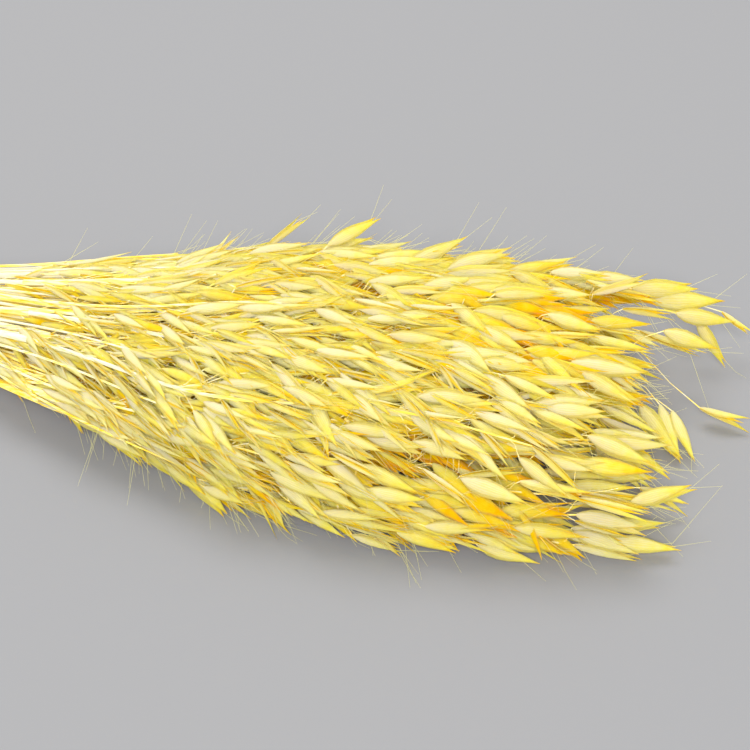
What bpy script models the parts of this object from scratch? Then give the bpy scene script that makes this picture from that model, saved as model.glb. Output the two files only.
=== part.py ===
"""A bunch of dried oats, lying on its side, with its heads towards +X.

Thirty-six cut stalks are held by one tie. Each stalk is one solid: a straw that thins into the rachis,
and the spikelets that grow from it. The stalks are first grown straight, each round its own axis,
and then bent into the bunch, whose cross-section is round at the tie and a low mound at the heads.
Every stalk keeps its own share of that cross-section from end to end, so no two of them touch.
"""

import math
import random

import bmesh
import bpy
from mathutils import Matrix, Vector

MM = 0.001

# The bunch
STALK_COUNT = 36
CUT_END_X = -290 * MM
TIE_X = -139 * MM
TIP_X = 270 * MM
FAR_TIP_X = 289 * MM
FAR_SIDE_FROM = 0.05
FAR_SIDE_WIDTH = 0.5
TIP_UNEVENNESS = 14 * MM
OUTER_TIP_UNEVENNESS = 165 * MM
OUTER_TIP_POWER = 1.3
CUT_UNEVENNESS = 16 * MM
SEAT_TURN = math.radians(135)
EDGE_DROP = 0.8
EDGE_LEAST = 0.03
CLEARANCE = 0.22 * MM

# Cross-sections: place, half width, half height, lowest axis, middle sideways, flatness of the foot
SECTIONS = (
    (-290 * MM, 20.0 * MM, 13.0 * MM, 1.8 * MM, 0.0 * MM, 0.0),
    (TIE_X, 11.3 * MM, 11.3 * MM, 3.0 * MM, 0.0 * MM, 0.0),
    (-45 * MM, 34.0 * MM, 15.5 * MM, 2.6 * MM, -3.5 * MM, 0.4),
    (20 * MM, 55.0 * MM, 21.0 * MM, 3.6 * MM, -7.0 * MM, 0.8),
    (90 * MM, 76.0 * MM, 27.0 * MM, 4.4 * MM, -9.0 * MM, 1.0),
    (170 * MM, 84.0 * MM, 28.0 * MM, 4.4 * MM, -6.0 * MM, 1.0),
    (235 * MM, 83.0 * MM, 25.0 * MM, 4.4 * MM, 0.0 * MM, 1.0),
    (290 * MM, 72.0 * MM, 20.0 * MM, 4.4 * MM, 5.0 * MM, 1.0),
)

# The tie
TIE_LENGTH = 11 * MM
TIE_INNER_RADIUS = 13.1 * MM
TIE_THICKNESS = 1.5 * MM
TIE_SIDES = 14
MERGE_DISTANCE = 0.01 * MM

# A stalk
STRAW_SIDES = 4
STRAW_RADIUS = 1.15 * MM
NECK_RADIUS = 0.85 * MM
RACHIS_TIP_RADIUS = 0.5 * MM
STRAW_JOINTS = (-150 * MM, -128 * MM, -80 * MM, -25 * MM, 35 * MM)
HEAD_LENGTH = 178 * MM
HEAD_LENGTH_SPREAD = 22 * MM
WHORL_COUNT = 4
WHORL_HEIGHT = 2.4 * MM
WHORL_UNEVENNESS = 0.08
NECK_LENGTH = 12 * MM
DRIFT = 0.045
DRIFT_START = 60 * MM
DRIFT_WAVE = 170 * MM
SMOOTH_ANGLE = math.radians(50)

# A spikelet
SPIKELET_LENGTH = 31 * MM
SPIKELET_WIDTH = 7.4 * MM
SPIKELET_THICKNESS = 2.7 * MM
BELLY_PLACE = 0.36
PEDICEL_LENGTH = 11 * MM
PEDICEL_THICKNESS = 0.8 * MM
LENGTH_SPREAD = (0.9, 1.08)
PEDICEL_SPREAD = (0.75, 1.25)
REACH_SPREAD = (0.72, 0.98)
PEDICEL_OUT = 0.3
BELLY_OUT = 0.62
OVAL_LEAN = 0.25 * MM
TIP_SWERVE = 0.3
LAST_TIP_SWERVE = 2 * MM
SHARE_MARGIN = 0.4 * MM
ROOT_MARGIN = 0.2 * MM
REACH_SIDEWAYS = 13 * MM
REACH_UPWARDS = 10 * MM
REACH_DOWNWARDS = 3.6 * MM
AWN_LENGTH = 13 * MM
AWN_OUT = 7 * MM


def most_reach(side, up):
    """The reach of a spikelet that has no neighbour on its outer side."""
    if side:
        return REACH_SIDEWAYS
    return REACH_UPWARDS if up > 0 else REACH_DOWNWARDS


def clear_scene():
    for thing in list(bpy.data.objects):
        bpy.data.objects.remove(thing, do_unlink=True)


def make_material(name, colour, roughness):
    material = bpy.data.materials.new(name)
    material.use_nodes = True
    shader = material.node_tree.nodes["Principled BSDF"]
    shader.inputs["Base Color"].default_value = (*colour, 1.0)
    shader.inputs["Roughness"].default_value = roughness
    shader.inputs["Metallic"].default_value = 0.0
    return material


def section_at(x):
    """The cross-section at x, on a smooth curve through SECTIONS."""
    x = min(max(x, SECTIONS[0][0]), SECTIONS[-1][0])
    after = 1
    while SECTIONS[after][0] < x:
        after += 1
    before = after - 1
    span = SECTIONS[after][0] - SECTIONS[before][0]
    t = (x - SECTIONS[before][0]) / span

    def slope(at, column):
        low, high = max(at - 1, 0), min(at + 1, len(SECTIONS) - 1)
        return (SECTIONS[high][column] - SECTIONS[low][column]) / (SECTIONS[high][0] - SECTIONS[low][0])

    def smooth(column):
        start, end = SECTIONS[before][column], SECTIONS[after][column]
        leave, arrive = slope(before, column) * span, slope(after, column) * span
        rise = end - start
        return start + t * (leave + t * (3 * rise - 2 * leave - arrive + t * (leave + arrive - 2 * rise)))

    return tuple(smooth(column) for column in range(1, 6))


def bunch_point(x, u, v):
    """The place in the bunch of the point (u, v) of the unit disc, at x."""
    half_width, half_height, lowest, middle, flatness = section_at(x)
    mound = math.sqrt(max(1 - EDGE_DROP * u * u, EDGE_LEAST))
    lift = 1 - flatness + flatness * mound
    return Vector((x, middle + half_width * u, lowest + half_height * (v + lift)))


def sunflower_seats():
    """Evenly spread seats in the unit disc, one for each stalk."""
    golden_angle = math.pi * (3 - math.sqrt(5))
    seats = []
    for index in range(STALK_COUNT):
        radius = math.sqrt((index + 0.5) / STALK_COUNT)
        angle = index * golden_angle + SEAT_TURN
        seats.append((radius * math.cos(angle), radius * math.sin(angle)))
    return seats


class Stalk:
    """One stalk's seat in the bunch, and what it draws by lot."""

    def __init__(self, index, seats):
        self.rng = random.Random(1000 + index)
        self.u, self.v = seats[index]
        self.others = [(u - self.u, v - self.v) for at, (u, v) in enumerate(seats) if at != index]
        outer = self.u**2 + self.v**2
        self.cut = CUT_END_X + self.rng.random() * CUT_UNEVENNESS
        share = int(f"{index:06b}"[::-1], 2) / 64
        shorter = TIP_UNEVENNESS * self.rng.random() + OUTER_TIP_UNEVENNESS * outer * share**OUTER_TIP_POWER
        far_side = min(max((self.u - FAR_SIDE_FROM) / FAR_SIDE_WIDTH, 0.0), 1.0)
        self.tip = TIP_X + (FAR_TIP_X - TIP_X) * far_side - shorter
        self.head = self.tip - HEAD_LENGTH + HEAD_LENGTH_SPREAD * self.rng.uniform(-1, 1)
        self.sway = [self.rng.uniform(0, 2 * math.pi) for _ in range(2)]

    def drift(self, x):
        """How far the axis strays from its seat at x: not at all in the tie."""
        free = min(abs(x - TIE_X) / DRIFT_START, 1.0)
        turns = 2 * math.pi * x / DRIFT_WAVE
        return tuple(DRIFT * free * math.sin(turns + phase) for phase in self.sway)

    def hold_in_share(self, du, dv, gap):
        """Draws an offset back towards the seat until it is inside this stalk's share."""
        keep = 1.0
        for nu, nv in self.others:
            far = math.hypot(nu, nv)
            towards = (du * nu + dv * nv) / far
            if towards > 0:
                keep = min(keep, (far / 2 - gap) / towards)
        return du * keep, dv * keep

    def reach(self, x, side, up):
        """How far this stalk's share goes from its axis at x, sideways or up or down."""
        half_width, half_height = section_at(x)[:2]
        scale = half_width if side else half_height
        most = most_reach(side, up)
        for nu, nv in self.others:
            towards = nu * side + nv * up
            if towards > 0:
                most = min(most, scale * (nu * nu + nv * nv) / (2 * towards))
        return most

    def bend(self, point):
        """Takes a point of the straight stalk to its place in the bunch."""
        half_width, half_height = section_at(point.x)[:2]
        drift_u, drift_v = self.drift(point.x)
        du = drift_u + point.y / half_width
        dv = drift_v + point.z / half_height
        du, dv = self.hold_in_share(du, dv, CLEARANCE / half_height)
        return bunch_point(point.x, self.u + du, self.v + dv)


def extrude(bm, face):
    return bmesh.ops.extrude_discrete_faces(bm, faces=[face])["faces"][0]


def set_ring(face, x, radius):
    """Moves the end face of the straw to x, with its corners on a circle."""
    for vert in face.verts:
        away = Vector((0, vert.co.y, vert.co.z)).normalized()
        vert.co = Vector((x, 0, 0)) + away * radius


def side_faces(end):
    return [face for edge in end.edges for face in edge.link_faces if face is not end]


def grow_spikelet(bm, face, stalk, pedicel, length, spread):
    """Grows one spikelet from a side face of the rachis, forwards and outwards.

    On the outside of the bunch, the tip is drawn out to where its awn ends.
    """
    base = face.calc_center_median()
    out = Vector((0, face.normal.y, face.normal.z)).normalized()
    side, up = round(out.y), round(out.z)
    across = Vector((0, -out.z, out.y))
    wide, deep = (SPIKELET_THICKNESS, SPIKELET_WIDTH) if side else (SPIKELET_WIDTH, SPIKELET_THICKNESS)
    reach = stalk.reach(base.x + length / 2, side, up)
    root = (PEDICEL_THICKNESS + deep) / 2
    tip_out = max(root, spread * (reach - SHARE_MARGIN))

    # The rear edge of a side face becomes the outer side of the spikelet, the front edge the inner
    def shape(ring, centre, width, depth):
        rear_edge = sorted(ring.verts, key=lambda vert: vert.co.x)[:2]
        for vert in ring.verts:
            outer = 1 if vert in rear_edge else -1
            lean = (vert.co - centre).dot(across)
            vert.co = centre + across * math.copysign(width / 2, lean) + out * outer * depth / 2
            vert.co.x -= outer * OVAL_LEAN

    ring = face
    if pedicel > 0:
        ring = extrude(bm, ring)
        centre = base + Vector((pedicel, 0, 0)) + out * (RACHIS_TIP_RADIUS + tip_out * PEDICEL_OUT)
        shape(ring, centre, PEDICEL_THICKNESS, PEDICEL_THICKNESS)
    start = base + Vector((pedicel, 0, 0))
    ring = extrude(bm, ring)
    belly_out = max(root + ROOT_MARGIN, tip_out * BELLY_OUT)
    centre = start + Vector((length * BELLY_PLACE, 0, 0)) + out * belly_out
    shape(ring, centre, wide, deep)
    tip = bmesh.ops.poke(bm, faces=[ring])["verts"][0]
    swerve = stalk.rng.uniform(-1, 1) * wide * TIP_SWERVE
    if up >= 0 and reach == most_reach(side, up):
        length += AWN_LENGTH
        tip_out += AWN_OUT
    tip.co = start + Vector((length, 0, 0)) + out * tip_out + across * swerve


def grow_stalk(stalk):
    """The straight stalk along +X, as one closed mesh."""
    bm = bmesh.new()
    first_joint = min(joint for joint in STRAW_JOINTS if joint > stalk.cut)
    along_x = Matrix.Rotation(math.radians(90), 4, "Y") @ Matrix.Rotation(math.radians(45), 4, "Z")
    middle = Matrix.Translation(((stalk.cut + first_joint) / 2, 0, 0))
    bmesh.ops.create_cone(
        bm,
        cap_ends=True,
        segments=STRAW_SIDES,
        radius1=STRAW_RADIUS,
        radius2=STRAW_RADIUS,
        depth=first_joint - stalk.cut,
        matrix=middle @ along_x,
    )
    end = max(bm.faces, key=lambda face: face.calc_center_median().x)

    # The straw, on joints that all stalks share, so that neighbours stay side by side
    for joint in STRAW_JOINTS:
        if first_joint < joint < stalk.head - NECK_LENGTH:
            end = extrude(bm, end)
            done = (joint - stalk.cut) / (stalk.head - stalk.cut)
            set_ring(end, joint, STRAW_RADIUS + (NECK_RADIUS - STRAW_RADIUS) * done)

    # The rachis, with a short stretch for each whorl
    rachis_end = stalk.tip - SPIKELET_LENGTH
    spacing = (rachis_end - stalk.head) / WHORL_COUNT
    whorls = []
    for whorl in range(WHORL_COUNT):
        radius = NECK_RADIUS + (RACHIS_TIP_RADIUS - NECK_RADIUS) * whorl / WHORL_COUNT
        unevenness = WHORL_UNEVENNESS * stalk.rng.uniform(-1, 1)
        place = stalk.head + (whorl + unevenness) * spacing
        for x in (place, place + WHORL_HEIGHT):
            end = extrude(bm, end)
            set_ring(end, x, radius)
        whorls.append(side_faces(end))

    # The last spikelet ends the rachis
    end = extrude(bm, end)
    set_ring(end, rachis_end, RACHIS_TIP_RADIUS)
    end = extrude(bm, end)
    for vert in end.verts:
        vert.co.x = rachis_end + SPIKELET_LENGTH * BELLY_PLACE
        vert.co.y = math.copysign(SPIKELET_WIDTH / 2, vert.co.y)
        vert.co.z = math.copysign(SPIKELET_THICKNESS / 2, vert.co.z)
    tip = bmesh.ops.poke(bm, faces=[end])["verts"][0]
    tip.co = Vector((stalk.tip, stalk.rng.uniform(-1, 1) * LAST_TIP_SWERVE, 0))

    # One long-stalked spikelet and two that sit close at each whorl
    bm.normal_update()
    for number, faces in enumerate(whorls):
        above = number % 2 == 0
        for face in faces:
            side, up = round(face.normal.y), round(face.normal.z)
            length = SPIKELET_LENGTH * stalk.rng.uniform(*LENGTH_SPREAD)
            spread = stalk.rng.uniform(*REACH_SPREAD)
            pedicel = PEDICEL_LENGTH * stalk.rng.uniform(*PEDICEL_SPREAD)
            if side:
                stalked = (side > 0) == above
                grow_spikelet(bm, face, stalk, pedicel if stalked else 0.0, length, spread)
            elif (up > 0) == above:
                grow_spikelet(bm, face, stalk, 0.0, length, spread)
    for vert in bm.verts:
        vert.co = stalk.bend(vert.co)
    bmesh.ops.recalc_face_normals(bm, faces=bm.faces[:])
    return bm


def add_stalk(name, index, seats, material, collection):
    bm = grow_stalk(Stalk(index, seats))
    mesh = bpy.data.meshes.new(name)
    bm.to_mesh(mesh)
    bm.free()
    mesh.materials.append(material)
    mesh.shade_smooth()
    mesh.set_sharp_from_angle(angle=SMOOTH_ANGLE)
    stalk = bpy.data.objects.new(name, mesh)
    collection.objects.link(stalk)
    return stalk


def add_tie(material, collection):
    """A band round the straws: its profile turned round the X axis, with a flat side down."""
    inner, outer = TIE_INNER_RADIUS, TIE_INNER_RADIUS + TIE_THICKNESS
    half = TIE_LENGTH / 2
    corners = [(outer, half), (outer, -half), (inner, -half), (inner, half)]
    mesh = bpy.data.meshes.new("tie")
    edges = [(at, (at + 1) % len(corners)) for at in range(len(corners))]
    mesh.from_pydata([(radius, 0, height) for radius, height in corners], edges, [])
    mesh.materials.append(material)
    tie = bpy.data.objects.new("tie", mesh)
    collection.objects.link(tie)
    turned = tie.modifiers.new("Turned", "SCREW")
    turned.axis = "Z"
    turned.steps = turned.render_steps = TIE_SIDES
    turned.merge_threshold = MERGE_DISTANCE
    turned.use_merge_vertices = True
    _, half_height, lowest, middle, _ = section_at(TIE_X)
    flat_down = Matrix.Rotation(math.pi / TIE_SIDES, 4, "Z")
    lying = Matrix.Rotation(math.radians(90), 4, "Y")
    tie.matrix_world = Matrix.Translation((TIE_X, middle, lowest + half_height)) @ lying @ flat_down
    return tie


def centre_on_origin(objects):
    """Moves everything so that the origin is under the middle of the bunch, on its floor."""
    bpy.context.view_layer.update()
    graph = bpy.context.evaluated_depsgraph_get()
    points = []
    for thing in objects:
        evaluated = thing.evaluated_get(graph)
        points += [thing.matrix_world @ vert.co for vert in evaluated.data.vertices]
    low = Vector(min(point[axis] for point in points) for axis in range(3))
    high = Vector(max(point[axis] for point in points) for axis in range(3))
    shift = Matrix.Translation((-(low.x + high.x) / 2, -(low.y + high.y) / 2, -low.z))
    for thing in objects:
        thing.matrix_world = shift @ thing.matrix_world


def main():
    clear_scene()
    collection = bpy.data.collections.new("bunch_of_dried_oats")
    bpy.context.scene.collection.children.link(collection)
    straw = make_material("dyed_oat_straw", (0.93, 0.78, 0.25), 0.6)
    band = make_material("raffia", (0.70, 0.52, 0.30), 0.8)
    seats = sunflower_seats()
    objects = []
    for index in range(STALK_COUNT):
        name = f"oat_stalk_{index + 1:02d}"
        objects.append(add_stalk(name, index, seats, straw, collection))
    objects.append(add_tie(band, collection))
    centre_on_origin(objects)


main()
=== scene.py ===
"""The looks of a tied bunch of dried oats, dyed yellow, lying on its side.

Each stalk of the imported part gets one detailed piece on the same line: a hollow straw with its joints,
sheaths and dry blades, the rachis with its thin branches, and the papery spikelets with their awns. It
also has the thinner straws that lie beside it. The tie is wound from twisted twine. Lengths are in metres.
"""

import math
import random

import bpy
import numpy as np
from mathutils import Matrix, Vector


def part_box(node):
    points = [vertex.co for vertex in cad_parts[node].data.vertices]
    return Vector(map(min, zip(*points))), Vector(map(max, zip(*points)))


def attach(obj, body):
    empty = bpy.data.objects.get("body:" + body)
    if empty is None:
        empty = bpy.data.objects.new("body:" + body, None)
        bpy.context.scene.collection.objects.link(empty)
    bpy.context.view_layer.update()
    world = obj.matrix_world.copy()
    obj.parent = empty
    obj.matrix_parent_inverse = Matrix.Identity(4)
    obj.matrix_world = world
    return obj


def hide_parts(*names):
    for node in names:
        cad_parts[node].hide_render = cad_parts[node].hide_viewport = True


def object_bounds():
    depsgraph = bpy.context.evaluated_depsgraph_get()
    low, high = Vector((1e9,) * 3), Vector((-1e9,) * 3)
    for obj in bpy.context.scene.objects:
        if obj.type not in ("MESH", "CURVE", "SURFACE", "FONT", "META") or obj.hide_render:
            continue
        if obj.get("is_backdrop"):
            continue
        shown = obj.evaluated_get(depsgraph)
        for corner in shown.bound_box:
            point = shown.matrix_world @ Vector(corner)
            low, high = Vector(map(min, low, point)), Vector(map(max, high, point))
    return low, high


MM = 0.001

# Seeds of the draws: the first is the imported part's own
PART_SEED = 1000
LOOKS_SEED = 5000
TWINE_SEED = 77

# The bunch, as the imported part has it
STALK_COUNT = 36
CUT_END_X = -290 * MM
TIE_X = -139 * MM
TIP_X = 270 * MM
FAR_TIP_X = 289 * MM
FAR_SIDE_FROM = 0.05
FAR_SIDE_WIDTH = 0.5
TIP_UNEVENNESS = 14 * MM
OUTER_TIP_UNEVENNESS = 165 * MM
OUTER_TIP_POWER = 1.3
CUT_UNEVENNESS = 16 * MM
SEAT_TURN = math.radians(135)
EDGE_DROP = 0.8
EDGE_LEAST = 0.03
HEAD_LENGTH = 178 * MM
HEAD_LENGTH_SPREAD = 22 * MM
DRIFT = 0.045
DRIFT_START = 60 * MM
DRIFT_WAVE = 170 * MM

# Cross-sections: place, half width, half height, lowest axis, middle sideways, flatness of the foot
SECTIONS = np.array((
    (-290, 20.0, 13.0, 1.8, 0.0, 0.0),
    (-139, 11.3, 11.3, 3.0, 0.0, 0.0),
    (-45, 34.0, 15.5, 2.6, -3.5, 0.4),
    (20, 55.0, 21.0, 3.6, -7.0, 0.8),
    (90, 76.0, 27.0, 4.4, -9.0, 1.0),
    (170, 84.0, 28.0, 4.4, -6.0, 1.0),
    (235, 83.0, 25.0, 4.4, 0.0, 1.0),
    (290, 72.0, 20.0, 4.4, 5.0, 1.0),
)) * (MM, MM, MM, MM, MM, 1)

# Straw
STRAW_SIDES = 8
STRAW_STEP = 11 * MM
STRAW_RADIUS = 1.15 * MM
NECK_RADIUS = 0.8 * MM
RACHIS_TIP_RADIUS = 0.32 * MM
HOLLOW_SHARE = 0.65
HOLLOW_DEPTH = 4 * MM
JOINT_SWELLING = 0.3
JOINT_LENGTH = 1.6 * MM
JOINT_STATIONS = np.array((-1.5, 0, 1.5))
LOWER_JOINT_FROM_CUT = (30 * MM, 70 * MM)
UPPER_JOINT_X = (-75 * MM, -20 * MM)
STRAW_TONES = (0.25, 1)
RACHIS_TONE = 0.15
RACHIS_TONE_FROM = 0.3

# Thinner straws between the stalks, at spots chosen from rings in the unit disc
FURTHER_STRAWS = 62
SPOT_RINGS = 25
SPOTS_ON_A_RING = 72
SPOTS_WITHIN = 0.96
SEATS_WITHIN = 0.86
UPPER_SIDE = 0.4
FURTHER_RADIUS = (0.65 * MM, 0.95 * MM)
FURTHER_TAPER = (1, 0.5)
FURTHER_END_X = (30 * MM, 120 * MM)
FURTHER_CUT_UNEVENNESS = 12 * MM
FURTHER_TONES = (0.1, 1)

# Sheaths and dry blades
SHEATH_THICKNESS = 0.16 * MM
SHEATH_FOOT = 4 * MM
SHEATH_THICKER = (0.2, 1.0, 1.5)
SHEATH_LENGTH = (45 * MM, 80 * MM)
SHEATH_TONES = (0.1, 0.9)
BLADES = 2
BLADE_LENGTH = (50 * MM, 100 * MM)
BLADE_BEFORE_SHEATH_END = (4 * MM, 30 * MM)
BLADE_FROM_TIE = 9 * MM
BLADE_FROM_STRAW = 1.2 * MM
BLADE_AWAY = (1 * MM, 6 * MM)
BLADE_SWAY = 7 * MM
BLADE_TURN = 1.5
BLADE_FLATTER = 0.6
BLADE_STATIONS = np.linspace(0, 1, 13)
BLADE_WIDTHS = ((0, 0.12, 0.6, 1), (0.7, 1, 0.85, 0.05))
BLADE_HALF_WIDTH = (0.4 * MM, 1.0 * MM)
BLADE_TONES = (0.1, 1)
BLADE_ACROSS = np.array((-1.0, -0.5, 0.0, 0.5, 1.0, 0.5, 0.0, -0.5))
BLADE_CURL = np.array((0.3, 0.09, 0.0, 0.09, 0.3, 0.0, -0.09, 0.0))

# Painted shade: straws and blades are deeper in tone where they run in among the heads, and low in the
# bunch, where shade falls
AMONG_HEADS = (-40 * MM, 20 * MM)
SHADE_TONE_AMONG_HEADS = 0.1
BURIED = (0.0, 0.45)
BURIED_SHADE_TONE = 0.35
BURIED_DEEPER = (1, 0.3)

# Head: the spikelets of each whorl, from the lowest to the tip
WHORL_SPIKELETS = (6, 8, 9, 10, 10, 10, 10, 9, 7, 4, 2)
WHORLS_WITHIN = 0.96
WHORL_UNEVENNESS = 4 * MM
EXTRA_LENGTH = 75 * MM
LOWEST_WHORL_X = -38 * MM
LOWEST_BRANCH = 40 * MM
HIGHEST_BRANCH = 10 * MM
BRANCH_SHARE = (0.12, 1.0)
BRANCH_TURN = 0.3
BRANCH_REACH = 30 * MM
SHORTEST_REACH = 0.35
REACH_SQUARED = (0.05, 1)
LAST_ROOT = 1 * MM
SPREAD_SIDEWAYS = 0.23
SPREAD_UPWARDS = 0.34
LIFTED_FROM = -0.2
LIFTED_SHARE = 0.4
LIFTED_HEIGHT = (0.75, 1.0)
SHORTER_HEADS = {1: 8 * MM, 2: 18 * MM, 3: 22 * MM, 5: 22 * MM, 10: 6 * MM, 11: 12 * MM, 13: 42 * MM,
                 17: 10 * MM, 21: 38 * MM, 25: 5 * MM, 29: 28 * MM, 33: 8 * MM}
BRANCH_RADIUS = 0.18 * MM
BRANCH_SIDES = 3
BRANCH_TONE = 0.3
BRANCH_STATIONS = np.linspace(0, 1, 4)
BRANCH_LEAVES = 0.4
BRANCH_ARRIVES = 0.22
BRANCH_RADII = ((0, 0.8, 1), (1, 0.8, 1.5))

# Outline: place, and how far the heads reach there towards each side of the cross-section
NEAR_REACH = np.array((
    (-60, 0.88), (0, 0.9), (50, 0.93), (100, 0.94), (140, 0.93), (200, 0.89), (270, 0.83))) * (MM, 1)
FAR_REACH = np.array((
    (-60, 1.0), (10, 0.95), (60, 1.0), (110, 0.98), (180, 0.87), (230, 0.9), (290, 1.0))) * (MM, 1)
TIP_ROOM = 2 * MM

# Spikelet: its size, and the way that it points
GLUME_LENGTH = 26 * MM
SPIKELET_SIZES = (0.86, 1.1)
SIZE_AT_LEFT = 1.0
SIZE_AT_RIGHT = 1.1
WIDTH_AT_LEFT = 0.54
SPLAY = 7
NOD = np.array(((-38, -0.05), (60, -0.15), (190, -0.3))) * (MM, 1)
FAR_SIDE_NOD_LESS = 0.6
NEAR_SIDE_NOD = -0.5
NEAR_SIDE_NOD_END = 140 * MM
DROOP = -0.1
MOST_RISE = 0.15
WANDER_SIDEWAYS = 0.28
WANDER_UPWARDS = 0.14
STRAY_SHARE = 0.15
STRAY_TIMES = 2.4
LOWEST_FOOT = 2.4 * MM
LOWEST_TIP = 1.6 * MM
FLOOR_GAP = 0.05 * MM

# Husk: widths along it, corners across its outer and inner side, and how it opens
GLUME_HALF_WIDTH = 3.4 * MM
GLUME_THICKNESS = 0.13 * MM
GLUME_FULL_THICKNESS_FROM = 0.6 * MM
GLUME_STATIONS = np.array((0.0, 0.06, 0.19, 0.36, 0.55, 0.74, 0.9, 1.0))
GLUME_WIDTHS = np.array((0.16, 0.44, 0.84, 1.0, 0.84, 0.47, 0.16, 0.02))
GLUME_OUTER = np.linspace(-1, 1, 5)
GLUME_INNER = np.array((0.0,))
GLUME_WIDTH_SPREAD = (0.85, 1.12)
GLUME_BULGE = 0.42
GLUME_BULGE_POWER = 1.6
GLUME_PAIR = ((1, 1.0), (-1, 0.93))
GLUMES_APART = 0.3 * MM
GAPE_GAMMA = (2.0, 0.055)
GAPE_FROM = 0.3
GAPE_POWER = 1.5
TIP_CLOSES = 0.025
GLUME_TWIST = 0.3
GLUME_BOW = 0.05

# Floret and awn
FLORET_SIDES = 4
FLORET_STATIONS = np.array((0.0, 0.25, 0.65, 1.0))
FLORET_RADII = np.array((0.3, 1.0, 0.75, 0.06)) * 1.25 * MM
FLORET_LENGTH_SHARE = 0.84
FLORET_WIDE = 1.3
FLORET_HIGH = 0.8
FLORET_TONE_SHARE = 0.4
AWN_LENGTH = 26 * MM
AWN_LENGTHS = (0.75, 1.2)
AWN_SIDES = 3
AWN_STATIONS = np.array((0.15, 0.4, 0.7, 1.0))
AWN_RADII = 0.1 * MM * (1.1 - 0.75 * AWN_STATIONS)
AWN_KNEE = 0.4
AWN_BEYOND_KNEE = 0.9
AWN_LEAN = 0.1
AWN_BEND = 0.5
AWN_FOOT = 0.45
AWNS_MOST = 2
AWN_SHARE = 0.75
AWN_ROOM = 5 * MM
AWN_TONE = 0.85
DEEPER_ALONG = 0.3

# Tone of the husks, with painted light and shade: a deeper gold deep in the bunch and underneath, where
# shade falls, and pale on its skin, near the heads' tips and at the two ends, where light falls
DEEPEST = 0.02
TONE_RISE = 0.84
TONE_SPREAD = 0.16
LEAST_TONE = 0.5
SKIN_POWER = 4
UNDERSIDE_SHARE = 0.35
FROM_TIP = (-90 * MM, -30 * MM)
LIT_AT_TIP = 0.8
PALER = np.array(((-40, 0.35), (80, 0.0), (140, 0.0), (225, 0.15))) * (MM, 1)
DISTINCT_TONE = 0.7
DISTINCT_BRANCH = 12 * MM

# Spikelets that stand out in the photo: stalk, then foot and tip as their places in the picture, read in
# pixels across and down, and a height above the floor in millimetres
DISTINCT_SPIKELETS = (
    (16, (328, 245, 50), (381, 218, 60)),
    (29, (632, 289, 38), (698, 289, 34)),
    (29, (652, 300, 32), (727, 303, 28)),
    (8, (623, 309, 40), (679, 315, 36)),
    (21, (676, 313, 30), (734, 325, 22)),
    (21, (722, 312, 22), (752, 336, 16)),
    (21, (697, 320, 20), (726, 367, 6)),
    (8, (640, 331, 30), (706, 357, 20)),
    (5, (664, 331, 34), (719, 352, 24)),
    (3, (595, 354, 38), (663, 366, 28)),
    (2, (640, 404, 16), (677, 464, 4)),
    (2, (672, 411, 12), (693, 464, 3)),
    (5, (660, 405, 13), (681, 463, 3)),
    (13, (700, 408, 8), (752, 426, 5)),
    (17, (630, 503, 18), (696, 484, 22)),
    (17, (618, 498, 15), (679, 502, 15)),
    (17, (640, 488, 14), (692, 507, 6)),
    (17, (585, 492, 20), (651, 499, 16)),
    (33, (610, 541, 8), (681, 551, 4)),
    (33, (564, 534, 9), (628, 550, 6)),
    (25, (606, 524, 10), (664, 526, 7)),
    (4, (600, 457, 18), (661, 457, 14)),
    (33, (217, 490, 8), (280, 516, 4)),
    (33, (182, 466, 9), (230, 518, 3)),
    (33, (150, 446, 10), (190, 489, 5)),
    (33, (128, 425, 12), (160, 463, 6)),
    (25, (352, 535, 6), (404, 552, 3)),
    (33, (500, 541, 8), (556, 552, 4)),
    (33, (478, 546, 8), (540, 564, 4)),
    (11, (452, 304, 60), (493, 335, 60)),
    (27, (483, 361, 58), (536, 369, 57)),
    (27, (402, 350, 59), (464, 361, 58)),
    (27, (454, 369, 58), (502, 393, 55)),
    (27, (505, 376, 57), (557, 400, 53)),
    (11, (495, 294, 59), (557, 294, 56)),
    (11, (548, 314, 58), (603, 335, 56)),
    (7, (574, 435, 22), (641, 454, 16)),
    (4, (553, 447, 20), (625, 485, 12)),
    (12, (560, 488, 20), (636, 486, 16)),
    (12, (545, 470, 24), (615, 478, 18)),
    (33, (521, 509, 14), (585, 522, 10)),
    (17, (575, 505, 16), (640, 497, 14)),
    (4, (590, 470, 20), (660, 480, 16)),
    (29, (551, 281, 40), (618, 277, 38)),
    (29, (577, 285, 38), (642, 291, 34)),
)

# Twine: turns round the straws in one layer, the ends brought back over them to a reef knot on top
TWINE_RADIUS = 0.78 * MM
TWINE_TURN_RADIUS = 13.45 * MM
TWINE_TURNS = 7
TWINE_HALF_LENGTH = 4.75 * MM
TWINE_STEP = 0.5 * MM
TWINE_TURN_STEP = 0.1
TWINE_BACK = 0.55 * math.pi
TWINE_ON_TOP = ((0, 0.36 * math.pi, 0.56 * math.pi), (1, 1, 0))
PLY_TONES = (0.2, 0.5, 0.8)
PLY_SIDES = 6
PLY_RADIUS = 0.54 * TWINE_RADIUS
TWINE_TWIST = 4.6 * MM
TWINE_END = 13 * MM
TWINE_UNEVENNESS = ((0.06, 3.1 * MM, 0), (0.05, 1.7 * MM, 1))
FREE_END = ((1.0, -6.5 * MM, 2.2 * MM), (0.5, -3.5 * MM, 0.6 * MM))
CROSSING_X = 0.6 * MM
KNOT_HEIGHT = 0.75 * MM
TWINE_HAIRS = 420
HAIRS_AT_ENDS = 60
HAIR_LENGTH = (1.2 * MM, 3.2 * MM)
HAIR_RISE = (0.12, 0.55)
HAIR_CURL = 0.3
HAIR_RADIUS = 0.05 * MM
HAIR_SIDES = 3
HAIR_ROOTS = (0.3, 0.85)
HAIR_TONE = 0.9
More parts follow.
